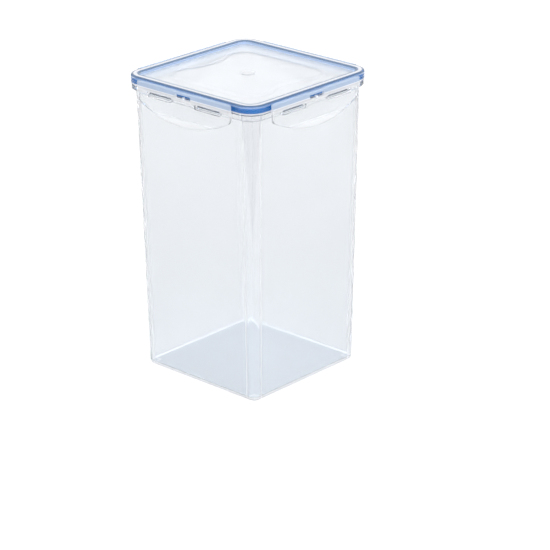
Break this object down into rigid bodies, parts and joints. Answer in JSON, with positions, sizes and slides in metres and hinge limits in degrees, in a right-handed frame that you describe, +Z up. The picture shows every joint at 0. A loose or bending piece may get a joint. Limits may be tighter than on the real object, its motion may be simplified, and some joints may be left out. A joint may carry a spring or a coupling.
{
  "type": "food canister",
  "caption": "Tall square clear plastic food canister with a gasketed lid that locks to the jar with hinged flaps on all sides.",
  "frame": {"origin": "centre of the foot, on the surface that the canister stands on", "axes": "+Z up along the canister, +X out of the right side, -Y out of the front side"},
  "size_m": [0.155, 0.155, 0.2565],
  "materials": {
    "clear_plastic": "clear, slightly cloudy moulded plastic",
    "blue_silicone": "translucent satin silicone"
  },
  "bodies": {
    "jar": {"jar_body": "clear_plastic"},
    "lid": {"lid_cover": "clear_plastic", "seal_ring": "blue_silicone", "right_hinge_web_left": "clear_plastic", "right_hinge_web_right": "clear_plastic", "back_hinge_web_left": "clear_plastic", "back_hinge_web_right": "clear_plastic", "left_hinge_web_left": "clear_plastic", "left_hinge_web_right": "clear_plastic", "front_hinge_web_left": "clear_plastic", "front_hinge_web_right": "clear_plastic"},
    "right_flap": {"right_flap": "clear_plastic"},
    "back_flap": {"back_flap": "clear_plastic"},
    "left_flap": {"left_flap": "clear_plastic"},
    "front_flap": {"front_flap": "clear_plastic"}
  },
  "joints": [
    {"name": "lid_lift", "type": "slide", "parent": "jar", "child": "lid", "axis": [0, 0, 1], "range_m": [0, 0.15]},
    {"name": "right_flap_hinge", "type": "hinge", "parent": "lid", "child": "right_flap", "pos_m": [0.0746, 0, 0.25444], "axis": [0, -1, 0], "range_deg": [-6, 160], "deforming": ["right_hinge_web_left", "right_hinge_web_right"]},
    {"name": "back_flap_hinge", "type": "hinge", "parent": "lid", "child": "back_flap", "pos_m": [0, 0.0746, 0.25444], "axis": [1, 0, 0], "range_deg": [-6, 160], "deforming": ["back_hinge_web_left", "back_hinge_web_right"]},
    {"name": "left_flap_hinge", "type": "hinge", "parent": "lid", "child": "left_flap", "pos_m": [-0.0746, 0, 0.25444], "axis": [0, 1, 0], "range_deg": [-6, 160], "deforming": ["left_hinge_web_left", "left_hinge_web_right"]},
    {"name": "front_flap_hinge", "type": "hinge", "parent": "lid", "child": "front_flap", "pos_m": [0, -0.0746, 0.25444], "axis": [-1, 0, 0], "range_deg": [-6, 160], "deforming": ["front_hinge_web_left", "front_hinge_web_right"]}
  ]
}
